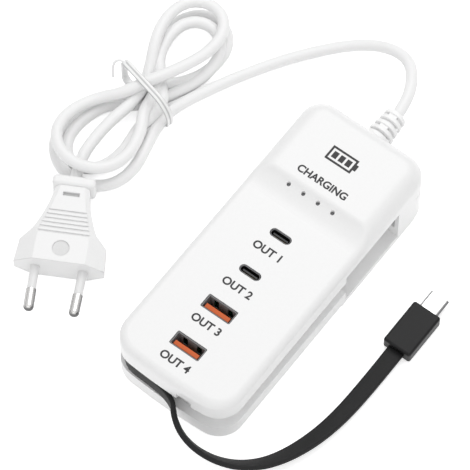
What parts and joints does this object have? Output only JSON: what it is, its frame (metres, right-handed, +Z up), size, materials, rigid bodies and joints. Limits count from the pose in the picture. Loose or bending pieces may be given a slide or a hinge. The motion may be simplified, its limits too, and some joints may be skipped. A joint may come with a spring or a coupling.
{
  "type": "multi-port usb wall charger",
  "caption": "Long white USB charging block with ports in a row on its deck, a tied mains lead with a flat two-pin plug, and a captive flat charging cable kept in a groove.",
  "frame": {"origin": "middle of the case's underside", "axes": "+X towards the side with the connector pocket, +Y along the case towards the mains lead, +Z up"},
  "size_m": [0.1712, 0.1881, 0.031],
  "materials": {
    "case_white": "gloss",
    "cord_white": "satin",
    "tie_clear": "satin",
    "pin_nickel": "bright",
    "sleeve_grey": "satin",
    "cable_black": "matte",
    "steel": "satin",
    "tongue_orange": "satin",
    "black_plastic": "matte",
    "contact_gold": "bright",
    "board_green": "satin",
    "ferrite": "matte",
    "winding": "satin",
    "can": "satin",
    "film": "satin",
    "wire_brown": "satin",
    "wire_blue": "satin",
    "led": "gloss",
    "light_pipe": "gloss"
  },
  "bodies": {
    "root": {"top_cover": "case_white", "bottom_shell": "case_white", "strain_relief": "cord_white", "mains_cord": "cord_white", "cord_hank": "cord_white", "cord_tail": "cord_white", "plug_body": "cord_white", "cord_tie": "tie_clear", "plug_pin_1": "pin_nickel", "plug_pin_2": "pin_nickel", "pin_sleeve_1": "sleeve_grey", "pin_sleeve_2": "sleeve_grey", "charging_cable": "cable_black", "connector_housing": "cable_black", "cable_anchor": "cable_black", "connector_shell": "steel", "usb_a_shell_1": "steel", "usb_a_shell_2": "steel", "usb_c_shell_1": "steel", "usb_c_shell_2": "steel", "case_screws": "steel", "usb_a_tongue_1": "tongue_orange", "usb_a_tongue_2": "tongue_orange", "usb_c_tongue_1": "black_plastic", "usb_c_tongue_2": "black_plastic", "connector_insert": "black_plastic", "port_controllers": "black_plastic", "bridge_rectifier": "black_plastic", "power_transistor": "black_plastic", "board_header": "black_plastic", "fuse": "black_plastic", "usb_a_contacts_1": "contact_gold", "usb_a_contacts_2": "contact_gold", "usb_c_contacts_1": "contact_gold", "usb_c_contacts_2": "contact_gold", "port_board": "board_green", "main_board": "board_green", "transformer_core": "ferrite", "filter_choke": "ferrite", "transformer_winding": "winding", "bulk_capacitors": "can", "output_capacitors": "can", "suppression_capacitor": "film", "live_lead": "wire_brown", "neutral_lead": "wire_blue", "leds": "led", "light_pipes": "light_pipe"}
  },
  "joints": []
}
